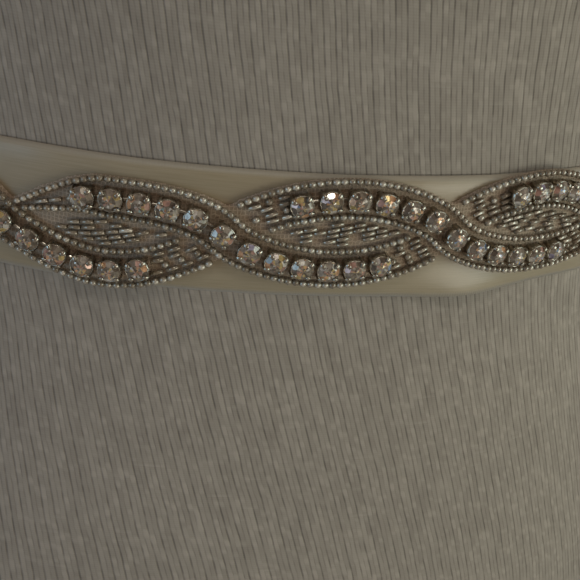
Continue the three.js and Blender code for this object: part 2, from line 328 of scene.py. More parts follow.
def build_linen_weave():
    group, place, result = new_weave("linen weave", "Tone", "Height")

    def streaks(number, along, length, seed, *spread):
        """Noise that changes from one number to the next, drawn out along the other direction."""
        parts = {0: times(group, number, 7.31), 1: sums(group, "DIVIDE", along, length), 2: seed}
        vector = put(group, "ShaderNodeCombineXYZ", parts).outputs[0]
        return remapped(group, clouds(group, 1.0, vector, detail=1.0), *spread)

    parts = put(group, "ShaderNodeSeparateXYZ", {0: place}).outputs
    up = parts[1]
    drift = sums(group, "SUBTRACT", clouds(group, DRIFT_SCALE, place), 0.5)
    aside = added(group, parts[0], times(group, drift, THREAD_DRIFT))

    pair = sums(group, "DIVIDE", aside, PAIR_WIDTH)
    pair_number = sums(group, "ROUND", pair)
    thread_number = sums(group, "FLOOR", times(group, pair, 2.0))
    off_pair = times(group, sums(group, "ABSOLUTE", sums(group, "SUBTRACT", pair, pair_number)), 2.0)
    wide_strokes = streaks(pair_number, up, STROKE_LENGTH, 3.0, 0.3, 0.6, 0.35, 1.0)
    fine_strokes = streaks(pair_number, up, STROKE_LENGTH, 8.0, 0.36, 0.66, 0.1, 1.0)
    weft = sums(group, "DIVIDE", up, WEFT_PITCH)
    found = {
        "body": streaks(thread_number, up, SLUB_LENGTH, 0.0, 0.3, 0.7),
        "stroke": streaks(thread_number, up, STROKE_LENGTH, 5.0, 0.52, 0.72),
        "weft slub": streaks(sums(group, "FLOOR", weft), aside, SLUB_LENGTH, 2.0, 0.66, 0.8),
        "weft wave": sums(group, "SINE", times(group, weft, 2 * math.pi)),
        "wide gap": times(group, remapped(group, off_pair, *WIDE_GAP_SIDE), wide_strokes),
        "fine gap": times(group, remapped(group, off_pair, *FINE_GAP_SIDE), fine_strokes),
    }
    tones = [times(group, found[part], weight["tone"]) for part, weight in linen_parts.items()]
    heights = [times(group, found[part], weight["height"]) for part, weight in linen_parts.items()]
    link_into(group, result, Tone=added(group, *tones, LINEN_GROUND), Height=added(group, *heights))
    return group


linen_weave = build_linen_weave()
print("linen weave nodes:", len(linen_weave.nodes))

# %% The linen material
LINEN_DARK = (0.2, 0.17, 0.134, 1)
LINEN_LIGHT = (0.5, 0.44, 0.362, 1)


def on_cloth(tree, weave):
    """The results of a weave's group on the piece's cloth map."""
    uv = put(tree, "ShaderNodeUVMap", uv_map="cloth").outputs[0]
    return put(tree, "ShaderNodeGroup", {"Place": uv}, node_tree=weave).outputs


def build_linen():
    made, tree, shader = new_material(
        "natural_linen", Roughness=0.92, Specular_IOR_Level=0.25, Sheen_Weight=0.12, Sheen_Roughness=0.6
    )
    weave = on_cloth(tree, linen_weave)
    thread = blended(tree, weave["Tone"], LINEN_DARK, LINEN_LIGHT)
    worn = remapped(tree, clouds(tree, 11.0, detail=3.0), 0.3, 0.7, 0.93, 1.06)
    link_into(tree, shader, Base_Color=shaded(tree, thread, worn))
    raise_threads(tree, shader, weave["Height"], 0.5, 0.2 * MM)
    return made


natural_linen = build_linen()
print("material:", natural_linen.name)

# %% [markdown]
# ## The dress form
# The form is smooth and has no limbs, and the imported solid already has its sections. So its
# cover starts as a copy of that node: the loose triangles are merged, made into quads and
# smoothed by two subdivision steps, with the edge of the flat underside kept sharp. The UV map
# is the waist's own length round the form, and the height, so the warp runs upright, but for a
# slant in front, where the cover is pulled round the waist.

# %% Cover the form


def copy_node(node, name):
    """A copy of a CAD node's mesh with its points merged. The node itself is left alone."""
    piece = new_object(name, bpy.data.objects[node].data.copy())
    piece.data.materials.clear()
    choose(piece)
    bpy.ops.object.mode_set(mode="EDIT")
    bpy.ops.mesh.select_all(action="SELECT")
    bpy.ops.mesh.remove_doubles(threshold=0.02 * MM)
    bpy.ops.mesh.tris_convert_to_quads()
    leave_edit_mode()
    return piece


def keep_edges_sharp(piece, wanted):
    """Creases the edges whose two ends `wanted` says yes to, so that smoothing keeps them."""
    crease = piece.data.attributes.new("crease_edge", "FLOAT", "EDGE")
    points = piece.data.vertices
    for edge in piece.data.edges:
        if all(wanted(points[i].co) for i in edge.vertices):
            crease.data[edge.index].value = 1.0


OFF_GRAIN = 0.29
OFF_GRAIN_AT = (10 * MM, WAIST_Z - 40 * MM)
OFF_GRAIN_REACH = 110 * MM


def off_grain(along, height):
    """How far the warp is drawn aside where the cover is pulled round the front of the waist."""
    rise = math.tanh((height - OFF_GRAIN_AT[1]) / OFF_GRAIN_REACH)
    return OFF_GRAIN * hump(along, OFF_GRAIN_AT[0], OFF_GRAIN_REACH) * OFF_GRAIN_REACH * rise


def wrap_upright(piece):
    """A UV map of the length round the form and the height, joined at the middle of the back."""
    mesh = piece.data
    while mesh.uv_layers:
        mesh.uv_layers.remove(mesh.uv_layers[0])
    layer = mesh.uv_layers.new(name="cloth")
    for face in mesh.polygons:
        turns = []
        for corner in face.loop_indices:
            point = mesh.vertices[mesh.loops[corner].vertex_index].co
            turns.append(math.atan2(point.x / HALF_WIDTH, (MIDDLE_Y - point.y) / FRONT_DEPTH))
        if max(turns) - min(turns) > math.pi:
            turns = [turn if turn > 0 else turn + 2 * math.pi for turn in turns]
        for corner, turn in zip(face.loop_indices, turns):
            height = mesh.vertices[mesh.loops[corner].vertex_index].co.z
            along = turn / math.pi * HALF_GIRTH
            layer.data[corner].uv = (along + off_grain(along, height), height)


linen_form = copy_node("form_torso", "linen_form")
keep_edges_sharp(linen_form, lambda point: point.z < 0.1 * MM)
apply_modifier(linen_form, "SUBSURF", levels=2, render_levels=2)
wrap_upright(linen_form)
linen_form.data.polygons.foreach_set("use_smooth", [True] * len(linen_form.data.polygons))
linen_form.data.materials.append(natural_linen)
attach(linen_form, ROOT)
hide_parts("form_torso")
print("form faces:", len(linen_form.data.polygons))

# %% [markdown]
# ## Satin
# The ribbon is double-faced satin: long floats along its length, so it shines in streaks, and
# a woven selvedge that stands as a thin light line along both edges. Its sheen comes from the
# shader and the lights. The group gives the streaks and the selvedge.

# %% The weave of the satin
SATIN_STREAK = 9 * MM
SATIN_FLOAT = 0.22 * MM
SATIN_PICK = 0.09 * MM
SELVEDGE_WIDTH = 0.9 * MM
SELVEDGE_SIDE = (RIBBON_HALF - 1.4 * SELVEDGE_WIDTH, RIBBON_HALF - 0.6 * SELVEDGE_WIDTH)


def build_satin_weave():
    group, place, result = new_weave("satin weave", "Tone", "Height", "Selvedge")
    parts = put(group, "ShaderNodeSeparateXYZ", {0: place}).outputs
    along, across = parts[0], parts[1]
    lengthwise = sums(group, "DIVIDE", along, SATIN_STREAK)
    crosswise = sums(group, "DIVIDE", across, SATIN_FLOAT)
    floats = put(group, "ShaderNodeCombineXYZ", {0: lengthwise, 1: crosswise}).outputs[0]
    streak = clouds(group, 1.0, floats)
    selvedge = remapped(group, sums(group, "ABSOLUTE", across), *SELVEDGE_SIDE)
    picks = sums(group, "SINE", sums(group, "DIVIDE", along, SATIN_PICK))
    edge_rib = times(group, selvedge, added(group, times(group, picks, 0.25), 0.75))
    height = added(group, times(group, streak, 0.35), edge_rib)
    link_into(group, result, Tone=streak, Height=height, Selvedge=selvedge)
    return group


satin_weave = build_satin_weave()
print("satin weave nodes:", len(satin_weave.nodes))

# %% The satin material
SATIN_DEEP = (0.425, 0.348, 0.222, 1)
SATIN_BRIGHT = (0.49, 0.406, 0.268, 1)
SATIN_AGED = (0.395, 0.305, 0.175, 1)
SELVEDGE_COLOUR = (0.5, 0.45, 0.365, 1)


def build_satin():
    made, tree, shader = new_material(
        "ivory_satin", Specular_IOR_Level=0.9, Sheen_Weight=0.15, Sheen_Roughness=0.35
    )
    weave = on_cloth(tree, satin_weave)
    streak, selvedge = weave["Tone"], weave["Selvedge"]
    satin = blended(tree, remapped(tree, streak, 0.3, 0.7), SATIN_DEEP, SATIN_BRIGHT)
    age = remapped(tree, clouds(tree, 24.0), 0.4, 0.75, 0.0, 0.35)
    aged = blended(tree, age, satin, SATIN_AGED)
    edged = blended(tree, times(tree, selvedge, 0.6), aged, SELVEDGE_COLOUR)
    rough = added(tree, remapped(tree, streak, 0.3, 0.7, 0.32, 0.4), times(tree, selvedge, 0.15))
    link_into(tree, shader, Base_Color=edged, Roughness=rough)
    raise_threads(tree, shader, weave["Height"], 0.3, 0.12 * MM)
    return made


ivory_satin = build_satin()
print("material:", ivory_satin.name)

# %% [markdown]
# ## The ribbon round the waist
# The ribbon is one flat strip pulled snug, so it is a thin shell on the waist's own curve. Its
# two edges settle onto the linen, hand stitches pull small dimples along the trim, and its lower
# half leans in or out in five places. Towards the knot the strip gathers into raised folds that
# fan out unevenly.

# %% Shape the ribbon
RIBBON_CLOTH = 0.3 * MM
EDGE_SETTLES = 0.8 * MM
EDGE_WANDER = 0.2 * MM
EDGE_LOOSE = 0.12 * MM
LOOSE_WAVE = 31 * MM
DIMPLE_DEPTH = 0.16 * MM
DIMPLE_WAVE = 5.5 * MM
ALONG_STEPS = 480
ACROSS_STEPS = 20
GATHER_REACH = 62 * MM
GATHER_HEIGHT = 1.2 * MM
LEAN_STARTS = 0.35
lower_leans = [
    {"at": -17 * MM, "spread": 26 * MM, "slope": -0.07},
    {"at": 28 * MM, "spread": 11 * MM, "slope": 0.3},
    {"at": 50 * MM, "spread": 8 * MM, "slope": -0.07},
    {"at": -130 * MM, "spread": 22 * MM, "slope": 0.2},
    {"at": 150 * MM, "spread": 25 * MM, "slope": 0.15},
]
gathers = [
    {"at": -0.72, "spread": 0.13, "reach": 0.7},
    {"at": -0.3, "spread": 0.1, "reach": 1.0},
    {"at": 0.06, "spread": 0.12, "reach": 0.55},
    {"at": 0.4, "spread": 0.1, "reach": 0.85},
    {"at": 0.78, "spread": 0.12, "reach": 0.65},
]


def lean_of_lower_half(along):
    """The slope of the ribbon's lower half: where it faces down it is dark, where up it is light."""
    return sum(lean["slope"] * hump(along, lean["at"], lean["spread"]) for lean in lower_leans)


def nearness_to_knot(along):
    return max(0.0, 1 - (HALF_GIRTH - abs(along)) / GATHER_REACH)


def ribbon_relief(along, across):
    """How far the ribbon's face lies off its snug curve, at a place across it from -1 to 1."""
    below = max(0.0, -across - LEAN_STARTS)
    leaning = lean_of_lower_half(along) * RIBBON_HALF * below**1.5
    settled = -EDGE_SETTLES * abs(across) ** 9
    loose = EDGE_LOOSE * (wobble(along / LOOSE_WAVE, 3) - 1) * abs(across)
    pulled = max(0.0, wobble(along / DIMPLE_WAVE, 5 if across > 0 else 9))
    dimples = -DIMPLE_DEPTH * pulled * abs(across) ** 2
    fold = 0.0
    for gather in gathers:
        shifted = gather["at"] * (1 + 0.15 * wobble(along / (18 * MM), 2))
        strength = max(0.0, nearness_to_knot(along) - 1 + gather["reach"]) / gather["reach"]
        fold += GATHER_HEIGHT * strength * hump(across, shifted, gather["spread"])
    return settled + loose + dimples + fold + leaning


def build_ribbon():
    along = np.linspace(-HALF_GIRTH, HALF_GIRTH, ALONG_STEPS + 1)
    across = np.linspace(-1, 1, ACROSS_STEPS + 1)
    points = np.empty((ALONG_STEPS, ACROSS_STEPS + 1, 3))
    uv = np.empty((ALONG_STEPS + 1, ACROSS_STEPS + 1, 2))
    for i, length in enumerate(along):
        narrowed = 1 - 0.1 * nearness_to_knot(length) ** 2
        edge_wander = [EDGE_WANDER * wobble(length / (27 * MM), seed) for seed in (12, 15)]
        for j, share in enumerate(across):
            uv[i, j] = (length, share * RIBBON_HALF)
            if i < ALONG_STEPS:
                wander = edge_wander[0] if share > 0 else edge_wander[1]
                height = share * RIBBON_HALF * narrowed + wander * abs(share) ** 2
                points[i, j] = on_ribbon(length, height, ribbon_relief(length, share))
    return cloth_grid("satin_ribbon", points, uv, closed=True)


def line_with_satin(piece):
    """Gives a face of cloth its wall and its satin."""
    apply_modifier(piece, "SOLIDIFY", thickness=RIBBON_CLOTH, offset=-1)
    piece.data.materials.append(ivory_satin)


satin_ribbon = build_ribbon()
line_with_satin(satin_ribbon)
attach(satin_ribbon, ROOT)
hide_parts("ribbon_band")
print("ribbon faces:", len(satin_ribbon.data.polygons))

# %% [markdown]
# ## The knot
# Behind, the ribbon is tied in one flat knot: a turn of the ribbon that wraps over both ends, its
# width gathered into a few folds. It is a cushioned dome of cloth with its rim tucked down to
# the band, and the folds are soft troughs that fan from the middle, none alike.

# %% Tie the knot
knot_low, knot_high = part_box("ribbon_knot")
KNOT_HALF_WIDTH = 14.2 * MM
KNOT_HALF_HEIGHT = (knot_high.z - knot_low.z) / 2
KNOT_DEPTH = 9.0 * MM
KNOT_FOOT = 0.35 * MM
KNOT_ROUNDS = {"up": 0.75, "across": 0.8}
KNOT_DOME = {"up": 0.55, "across": 0.5}
KNOT_WAIST = 0.07
KNOT_UNEVEN = 0.25 * MM
KNOT_WRAP = 16 * MM
KNOT_GATHERED = 0.9
knot_folds = [
    {"across": -0.62, "lean": 0.1, "depth": 1.1 * MM, "spread": 0.11},
    {"across": -0.22, "lean": 0.04, "depth": 1.6 * MM, "spread": 0.09},
    {"across": 0.15, "lean": -0.07, "depth": 1.2 * MM, "spread": 0.1},
    {"across": 0.55, "lean": -0.13, "depth": 1.5 * MM, "spread": 0.12},
]


def round_power(value, power):
    """A power that keeps the value's sign. Below 1 it makes a round outline fuller."""
    return math.copysign(abs(value) ** power, value)


def knot_point(up_turn, side_turn):
    """A point on the knot's dome, at turns from -90 to 90 degrees up it and across it."""
    height = KNOT_HALF_HEIGHT * round_power(math.sin(up_turn), KNOT_ROUNDS["up"])
    waist = 1 - KNOT_WAIST * math.cos(up_turn) ** 2
    across = round_power(math.sin(side_turn), KNOT_ROUNDS["across"])
    dome = max(0.0, math.cos(up_turn)) ** KNOT_DOME["up"]
    dome *= max(0.0, math.cos(side_turn)) ** KNOT_DOME["across"]
    out = KNOT_FOOT + KNOT_DEPTH * dome
    for fold in knot_folds:
        line = fold["across"] + fold["lean"] * up_turn
        out -= fold["depth"] * dome * hump(across, line, fold["spread"])
    out += KNOT_UNEVEN * dome * wobble(9 * across + 2 * up_turn, 4)
    return on_ribbon(HALF_GIRTH + KNOT_HALF_WIDTH * waist * across, height, out)


def build_knot():
    side_turns = np.linspace(-math.pi / 2, math.pi / 2, 37)
    up_turns = np.linspace(-math.pi / 2, math.pi / 2, 31)
    points = np.array([[knot_point(up, side) for up in up_turns] for side in side_turns])
    width = KNOT_GATHERED * 2 * RIBBON_HALF / math.pi
    uv = np.array([[(up * KNOT_WRAP, side * width) for up in up_turns] for side in side_turns])
    return cloth_grid("satin_knot", points, uv)


satin_knot = build_knot()
line_with_satin(satin_knot)
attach(satin_knot, ROOT)
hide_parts("ribbon_knot")
print("knot faces:", len(satin_knot.data.polygons))

# %% [markdown]
# ## The two tails
# Each free end leaves the knot gathered, opens to the ribbon's full width and hangs down the
# back of the form to a slanted cut. The form slopes outwards below the waist, so the tail lies
# on it: each point is found by looking straight in at the form's back, and is held off it by the
# gathers at the top and by long slack waves lower down.

# %% Hang the tails
TAIL_TOP = knot_low.z + 1.2 * MM
TAIL_GATHERED = 5.4 * MM
TAIL_OPENS_OVER = 52 * MM
TAIL_SLANT = 9 * MM
TAIL_OFF_FORM = 1.15 * MM
TAIL_LIFT = 2.6 * MM
TAIL_LIFT_OVER = 34 * MM
SLACK_WAVE = 38 * MM
CURL_WAVE = 60 * MM
SLACK_GROWS_OVER = 70 * MM
TAIL_GATHERS = 0.9 * MM
TAIL_GAP = 0.3 * MM
TAIL_ROWS = 90
TAIL_COLUMNS = 17
LOOK_FROM = 0.5
tails = [
    {"name": "satin_tail_left", "node": "ribbon_tail_left", "side": 1, "spread": 15 * MM, "seed": 21},
    {"name": "satin_tail_right", "node": "ribbon_tail_right", "side": -1, "spread": 11 * MM, "seed": 34},
]
form_tree = BVHTree.FromObject(linen_form, bpy.context.evaluated_depsgraph_get())


def form_back(x, z):
    """Where the form's back is at a place seen from behind."""
    return form_tree.ray_cast(Vector((x, LOOK_FROM, z)), Vector((0, -1, 0)))[0].y


def eased(share):
    """A share from 0 to 1 that starts and ends gently."""
    share = min(max(share, 0.0), 1.0)
    return share * share * (3 - 2 * share)


def tail_slack(down, across, seed):
    """Long waves that a hanging end keeps, deeper towards its foot and unlike on its two edges."""
    wave = wobble(down / SLACK_WAVE + 0.5 * across, seed)
    curl = wobble(down / CURL_WAVE, seed + 2) * across
    return MM * (0.55 * (wave + 0.6) + 0.35 * curl) * eased(down / SLACK_GROWS_OVER)


def build_tail(tail):
    length = TAIL_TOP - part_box(tail["node"])[0].z - TAIL_SLANT
    points = np.empty((TAIL_ROWS, TAIL_COLUMNS, 3))
    uv = np.empty((TAIL_ROWS, TAIL_COLUMNS, 2))
    for i in range(TAIL_ROWS):
        down = length * i / (TAIL_ROWS - 1)
        opened = eased(down / TAIL_OPENS_OVER)
        half = TAIL_GATHERED + (RIBBON_HALF - TAIL_GATHERED) * opened
        middle = half + TAIL_GAP + tail["spread"] * down / length
        for j in range(TAIL_COLUMNS):
            across = tail["side"] * (1 - 2 * j / (TAIL_COLUMNS - 1))
            z = TAIL_TOP - down - TAIL_SLANT * down / length * (1 - across) / 2
            x = tail["side"] * (middle + half * across)
            gathers = TAIL_GATHERS * (1 - opened) * math.cos(2 * math.pi * across)
            lift = TAIL_LIFT * math.exp(-down / TAIL_LIFT_OVER) + TAIL_OFF_FORM + gathers
            lift += max(-0.5 * MM, tail_slack(down, across, tail["seed"]))
            points[i, j] = (x, form_back(x, z) + lift, z)
            uv[i, j] = (down, across * RIBBON_HALF)
    return cloth_grid(tail["name"], points, uv), length


for tail in tails:
    piece, length = build_tail(tail)
    line_with_satin(piece)
    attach(piece, ROOT)
    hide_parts(tail["node"])
    print(piece.name, "length:", round(length, 4))

# %% [markdown]
# ## How the trim is laid out
# The trim is a braid of ten short strands. Each starts under one crossing, swings up, passes
# over the next crossing, swings down and ends under the one after it, and half a strand closes
# each end. Between them they leave nine eye-shaped lenses. A strand carries round stones, and a
# row of seed beads runs along each of its sides. The trim was sewn on by hand, so its middle line
# wanders a little, and three strands leave their crossing late, their rows drawn together.
# Places on it are a distance along from its left end, and a height from its middle.

# %% The braid's own sizes
LENSES = 9
LENS = 43.5 * MM
STRAND_SWING = 7.1 * MM
ROUNDER = 0.15
SOFT_START = 0.02
ROW_OFFSET = 3.5 * MM
SEWN_STEP = 0.5
SEWN_LOW = MM * np.array(
    [0.4, 0.5, -0.6, 0.3, 0.6, 0.4, 0.1, 1.9, -0.4, -1.5]
    + [-2.1, -2.5, -0.9, -0.6, 0.2, -0.4, -0.9, 0.3, 0.4]
)
slow_starts = {1: 0.4, 4: 1.0, 8: 0.5}


def sewn_low(along):
    """How far below the ribbon's middle the trim lies, on a smooth curve that never overshoots."""
    grade = np.diff(SEWN_LOW)
    before, after = grade[:-1], grade[1:]
    same_way = before * after > 0
    both = np.where(same_way, before + after, 1)
    slope = np.concatenate([grade[:1], np.where(same_way, 2 * before * after / both, 0), grade[-1:]])
    place = np.clip(np.asarray(along, float) / (SEWN_STEP * LENS), 0, len(SEWN_LOW) - 1)
    k = np.minimum(place.astype(int), len(SEWN_LOW) - 2)
    t = place - k
    start = (1 + 2 * t) * (1 - t) ** 2 * SEWN_LOW[k] + t * (1 - t) ** 2 * slope[k]
    return start + t * t * (3 - 2 * t) * SEWN_LOW[k + 1] - t * t * (1 - t) * slope[k + 1]


def on_trim(along, height, out):
    """Points at places on the trim and distances off the ribbon's face."""
    return on_ribbon(along - LENSES / 2 * LENS, height - sewn_low(along), out)


def strand_height(place, strand=0):
    """The height of a strand's middle, `place` being in lenses from its own start."""
    swing = np.sin(math.pi * place)
    early = np.abs(swing) ** slow_starts.get(strand, 0.0)
    fuller = (swing * swing + SOFT_START) ** -ROUNDER
    return STRAND_SWING * np.where(place < 0.5, early, 1.0) * swing * fuller


print("trim length:", round(LENSES * LENS, 4))

# %% The strands as lines, and rows of beads beside them
HEADING_STEP = 0.4 * MM
LINE_STEPS = 400
OPENS_BETWEEN = (0.14, 0.48)
DRAWN_TOGETHER = 0.2


def strand_line(strand):
    """Points along the middle of a strand, close together, and the side of the strand at each."""
    first, last = (1 if strand == 0 else 0), (1 if strand == LENSES else 2)
    place = np.linspace(first, last, LINE_STEPS * (last - first) + 1)
    line = np.stack([(strand - 1 + place) * LENS, strand_height(place, strand)], axis=1)
    heading = unit(np.gradient(line, axis=0))
    return place, line, np.stack([-heading[:, 1], heading[:, 0]], axis=1)


STRANDS = [strand_line(strand) for strand in range(LENSES + 1)]


def row_width(strand, place):
    """How far apart the rows are, as a share. They draw together where a strand starts slowly."""
    narrow = slow_starts.get(strand, 0.0)
    return 1 - narrow * (1 - np.interp(place, OPENS_BETWEEN, (DRAWN_TOGETHER, 1.0)))


def row_beside(strand, offset, pitch, first=0.0, last=2.0):
    """Evenly spaced places beside a strand: along, height, heading and place on the strand."""
    place, line, side = STRANDS[strand]
    inside = (place >= first) & (place <= last)
    row = (line + (offset * row_width(strand, place))[:, None] * side)[inside]
    lengths = lengths_along(row)
    count = max(1, int(lengths[-1] / pitch))
    found = []
    for k in range(count + 1):
        at = lengths[-1] * k / count
        before, here, after = (
            [np.interp(at + step, lengths, row[:, axis]) for axis in (0, 1)]
            for step in (-HEADING_STEP, 0, HEADING_STEP)
        )
        heading = math.atan2(after[1] - before[1], after[0] - before[0])
        found.append((*here, heading, np.interp(at, lengths, place[inside])))
    return found


def far_from_strand(strand, x, y, distance):
    if not 0 <= strand <= LENSES:
        return True
    line = STRANDS[strand][1]
    return np.min(np.hypot(line[:, 0] - x, line[:, 1] - y)) > distance


print("strands:", len(STRANDS))

# %% [markdown]
# ## Where every bead goes
# A beader couches the rows one after the other, so the list is filled in that order: first both
# rows of every strand and the two ends, the strand on top at a crossing keeping its row and the
# one below stopping short of it, then the corners that have no stones, then slanted bugle beads
# in the eye of each lens. A bead is left out where one is there already, which is what a needle
# would find too.

# %% The list of beads
SEED_OUT = 1.1 * MM
BUGLE_OUT = 0.85 * MM
BUGLE_HALF = 1.15 * MM
BUGLE_NEAR = 3 * MM
SEED_CLEAR = 1.2 * MM
chance = random.Random(11)
seeds = []
bugles = []


def beside_bugle(bugle, x, y):
    """The distance from a place to a bugle's own axis."""
    dx, dy = x - bugle["x"], y - bugle["y"]
    ahead = dx * math.cos(bugle["heading"]) + dy * math.sin(bugle["heading"])
    ahead = min(max(ahead, -BUGLE_HALF), BUGLE_HALF)
    return math.hypot(dx - ahead * math.cos(bugle["heading"]), dy - ahead * math.sin(bugle["heading"]))


def is_free(x, y, clear):
    """True if no seed or bugle lies within `clear` of the place."""
    return all(math.hypot(x - b["x"], y - b["y"]) > clear for b in seeds) and all(
        abs(x - b["x"]) > BUGLE_NEAR or beside_bugle(b, x, y) > clear - 0.25 * MM for b in bugles
    )


# A seed's or bugle's tone sets how strong the painted highlight of its lining is, varied at random.
def add_seed(x, y, heading, out, tone):
    heading += chance.uniform(-0.12, 0.12)
    out += chance.uniform(-0.06, 0.06) * MM
    size = chance.uniform(0.93, 1.06)
    seeds.append({"x": x, "y": y, "heading": heading, "out": out, "size": size, "tone": tone})


def add_bugle(x, y, heading, tone):
    out = BUGLE_OUT + chance.uniform(-0.08, 0.12) * MM
    size = chance.uniform(0.92, 1.06)
    bugles.append({"x": x, "y": y, "heading": heading, "out": out, "size": size, "tone": tone})


# %% Lay the rows beside the strands
SEED_PITCH = 1.45 * MM
CROSSING_LIFT = 0.35 * MM
CROSSING_SPREAD = 0.16
UNDER_CLEAR = 4.8 * MM
FAINT_HIGHLIGHT_STRANDS = 5


def crossing_lift(place):
    """How far a strand is raised where it passes over its crossing."""
    return CROSSING_LIFT * hump(place, 1, CROSSING_SPREAD)


def lay_border_rows(strand):
    for offset in (ROW_OFFSET, -ROW_OFFSET):
        for x, y, heading, place in row_beside(strand, offset, SEED_PITCH):
            under = strand - 1 if place < 0.5 else strand + 1 if place > 1.5 else -1
            if far_from_strand(under, x, y, UNDER_CLEAR) and is_free(x, y, SEED_CLEAR):
                # The inner rows of the left strands get fainter painted highlights.
                inner = offset * strand_height(place, strand) < 0
                painted_highlight_dimming = 3.0 if inner and strand < FAINT_HIGHLIGHT_STRANDS else 1.3
                add_seed(x, y, heading, SEED_OUT + crossing_lift(place), chance.random() ** painted_highlight_dimming)


def close_end(end, outward):
    """Three seeds that join the two rows at an end of the trim."""
    for turn in (0.0, 0.5, -0.5):
        x = end + ROW_OFFSET * math.cos(outward + turn)
        y = ROW_OFFSET * math.sin(outward + turn)
        if is_free(x, y, SEED_CLEAR):
            add_seed(x, y, outward + turn + math.pi / 2, SEED_OUT, 0.5)


for strand in range(LENSES + 1):
    lay_border_rows(strand)
close_end(0, math.pi)
close_end(LENSES * LENS, 0.0)
border_seeds = len(seeds)
print("seed beads in the border rows:", border_seeds)

# %% [markdown]
# A whole strand carries twelve stones, and a half one six. The table gives where a strand's
# first stone sits and the step from one to the next, both in lenses. The short rows before and
# after the stones hold bugles and seeds.

# %% Fill the corners without stones
STONES = 12
stone_runs = [
    (0.33, 0.124), (0.345, 0.122), (0.32, 0.126), (0.362, 0.117), (0.412, 0.116),
    (0.305, 0.121), (0.335, 0.11), (0.33, 0.125), (0.35, 0.12), (0.33, 0.126),
]
CORNER_OFFSETS = (-1.9 * MM, -0.65 * MM, 0.65 * MM, 1.9 * MM)
CORNER_PITCH = 2.75 * MM
CORNER_CLEAR = 1.15 * MM
BEFORE_STONE = 0.06


def lay_corner_rows(strand, first, last):
    """Rows of short bugles and seeds along a stretch of a strand that carries no stones."""
    for offset in CORNER_OFFSETS:
        starts = first + 0.05 * chance.random()
        for x, y, heading, place in row_beside(strand, offset, CORNER_PITCH, starts, last):
            under = strand - 1 if place < 0.5 else strand + 1
            outside = far_from_strand(under, x, y, UNDER_CLEAR + 0.4 * MM)
            if not outside or not is_free(x, y, CORNER_CLEAR):
                continue
            if chance.random() < 0.6:
                add_bugle(x, y, heading + chance.uniform(-0.1, 0.1), chance.random() ** 2.5)
            elif chance.random() < 0.7:
                add_seed(x, y, heading, SEED_OUT - 0.3 * MM, chance.random() ** 2.2)


for strand, (run_start, pitch) in enumerate(stone_runs):
    if strand > 0:
        lay_corner_rows(strand, 0.0, run_start - BEFORE_STONE)
    if strand < LENSES:
        lay_corner_rows(strand, run_start + pitch * (STONES - 1) + BEFORE_STONE, 2.0)
print("with the corners:", len(seeds), "seeds and", len(bugles), "bugles")

# %% Fill the lenses
LENS_ROWS = 9
LENS_ROW_STEP = 1.1 * MM
LENS_PITCH = 2.5 * MM
LENS_CLEAR = 1.0 * MM
# Shares and tones of bugles that get a bright painted glint, more of them in one lens.
PAINTED_GLINT_LENS = 5
PAINTED_GLINT_LENS_SHARE = 0.3
PAINTED_GLINT_SHARE = 0.1
PAINTED_GLINT_TONES = (0.8, 1)
DULL_TONE = 0.32


def clear_of_rows(lens, ends):
    return all(
        far_from_strand(strand, x, y, ROW_OFFSET + 1.1 * MM)
        for strand in (lens - 1, lens, lens + 1, lens + 2)
        for x, y in ends
    )


def lay_lens_rows(lens):
    """Slanted bugles between the lens's two strands, clear of their rows."""
    slant = math.radians(chance.uniform(7, 15))
    bright = PAINTED_GLINT_LENS_SHARE if lens == PAINTED_GLINT_LENS else PAINTED_GLINT_SHARE
    for row in range(-LENS_ROWS, LENS_ROWS + 1):
        shift = chance.uniform(0, LENS_PITCH)
        for k in range(int(LENS / LENS_PITCH) + 1):
            ahead = shift + LENS_PITCH * k + chance.uniform(-0.08, 0.08) * MM
            x = lens * LENS + ahead
            y = row * LENS_ROW_STEP + math.tan(slant) * (ahead - LENS / 2)
            half_height = strand_height(x / LENS - lens)
            heading = slant + chance.uniform(-0.06, 0.06)
            half = BUGLE_HALF * np.array([math.cos(heading), math.sin(heading)])
            ends = [(x + end * half[0], y + end * half[1]) for end in (-1, 0, 1)]
            if not -half_height < y < half_height or not clear_of_rows(lens, ends):
                continue
            if all(is_free((x + ex) / 2, (y + ey) / 2, LENS_CLEAR) for ex, ey in ends):
                # A few bugles get a bright painted glint; the rest stay dull.
                shines = chance.random() < bright
                tone = chance.uniform(*PAINTED_GLINT_TONES) if shines else DULL_TONE * chance.random()
                add_bugle(x, y, heading, tone)


for lens in range(LENSES):
    lay_lens_rows(lens)
print("seed beads:", len(seeds), "bugle beads:", len(bugles))

# %% [markdown]
# ## Sewing many small things on
# One bead, one bugle, one stone and one setting are modelled with operators at their real size,
# at the origin, with their length along X and their outer side up. A joined mesh then holds a
# copy of the model at every place, turned to the trim's face there, with one tone for each copy.
# That is far lighter than a thousand objects.

# %% Take a model and join its copies


def fresh_piece(scale=(1, 1, 1)):
    """The piece that an operator has just added, with its place, turn and scale applied."""
    piece = bpy.context.object
    piece.scale = scale
    choose(piece)
    bpy.ops.object.transform_apply(location=True, rotation=True, scale=True)
    return piece


def take_model(piece):
    """The corners and faces of a modelled piece, which is then removed."""
    mesh = piece.data
    corners = np.array([vertex.co[:] for vertex in mesh.vertices])
    faces = [list(face.vertices) for face in mesh.polygons]
    smooth = [face.use_smooth for face in mesh.polygons]
    bpy.data.objects.remove(piece)
    return {"corners": corners, "faces": faces, "smooth": smooth}


def sewn_copies(model, places):
    """The model's corners at every place on the trim."""
    x, y, out, heading, size = (
        np.array([place[key] for place in places]) for key in ("x", "y", "out", "heading", "size")
    )
    origin = on_trim(x, y, out)
    step = 0.1 * MM
    ahead = unit(on_trim(x + step * np.cos(heading), y + step * np.sin(heading), out) - origin)
    outward = unit(on_trim(x, y, out + step) - origin)
    axes = np.stack([ahead, np.cross(outward, ahead), outward], axis=1) * size[:, None, None]
    return origin[:, None, :] + np.einsum("vk,nkd->nvd", model["corners"], axes)


